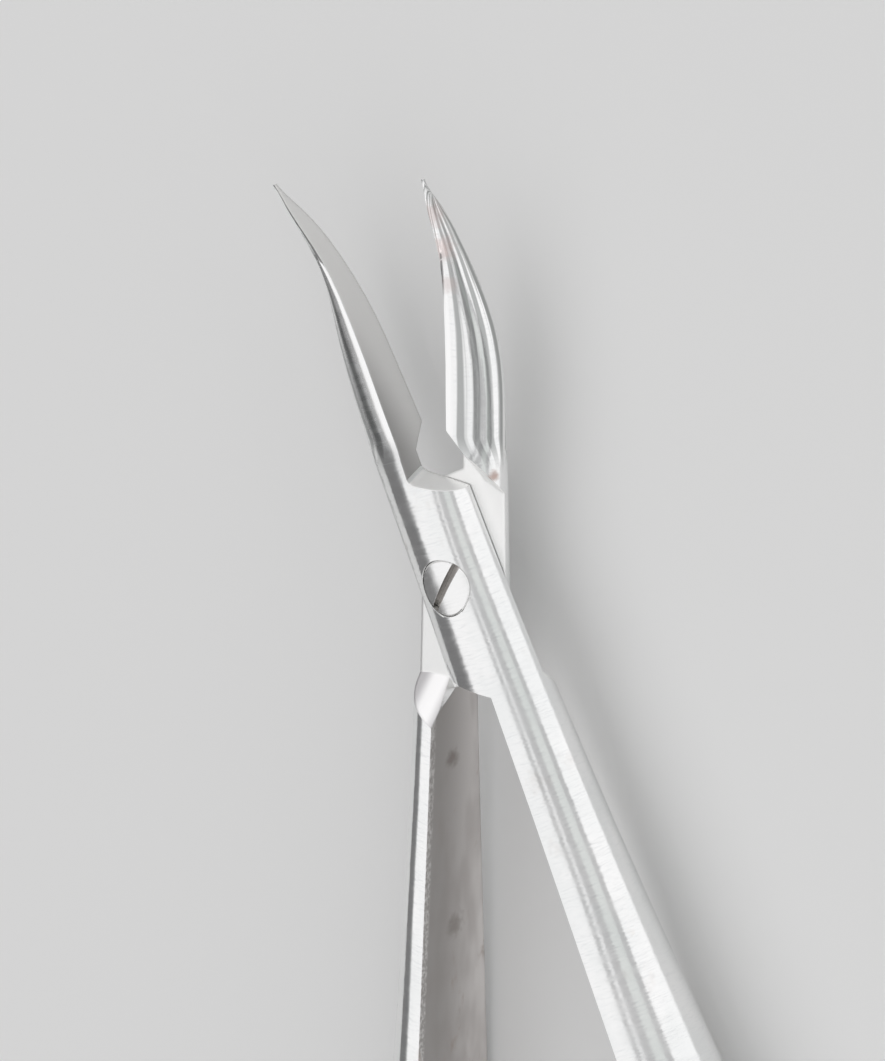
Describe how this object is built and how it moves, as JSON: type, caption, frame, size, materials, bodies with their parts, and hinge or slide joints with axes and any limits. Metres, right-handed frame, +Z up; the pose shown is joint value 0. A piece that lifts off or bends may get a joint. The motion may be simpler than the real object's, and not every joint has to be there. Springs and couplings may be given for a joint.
{
  "type": "microsurgical needle holder",
  "caption": "Microsurgical needle holder with fine curved jaws, half-lap screw joint, tapered half-round handles and bowed return leaves",
  "frame": {"origin": "middle of the instrument's box, on the table that the handles lie on", "axes": "+Y along the instrument towards the jaws, +Z up along the pivot screw towards its head, +X to the right seen from above with the jaws pointing away"},
  "size_m": [0.044, 0.1348, 0.0077],
  "materials": {
    "front_arm": "fine ground and satin brushed stainless steel",
    "rear_arm": "fine ground and satin brushed stainless steel",
    "pivot_screw": "ground flush with the arm",
    "front_leaf_spring": "rolled spring steel, lightly polished",
    "rear_leaf_spring": "rolled spring steel, lightly polished",
    "front_spring_rivets": "flush ground",
    "rear_spring_rivets": "flush ground"
  },
  "bodies": {
    "rear_half": {"rear_arm": "rear_arm", "pivot_screw": "pivot_screw", "rear_leaf_spring": "rear_leaf_spring", "rear_spring_rivets": "rear_spring_rivets"},
    "front_half": {"front_arm": "front_arm", "front_leaf_spring": "front_leaf_spring", "front_spring_rivets": "front_spring_rivets"}
  },
  "joints": [
    {"name": "jaw_pivot", "type": "hinge", "parent": "rear_half", "child": "front_half", "pos_m": [0, 0.04518, 0.00386], "axis": [0, 0, -1], "range_deg": [0, 23.9], "stiffness_Nm_per_rad": 0.08, "deforming": ["front_leaf_spring", "rear_leaf_spring"]}
  ]
}
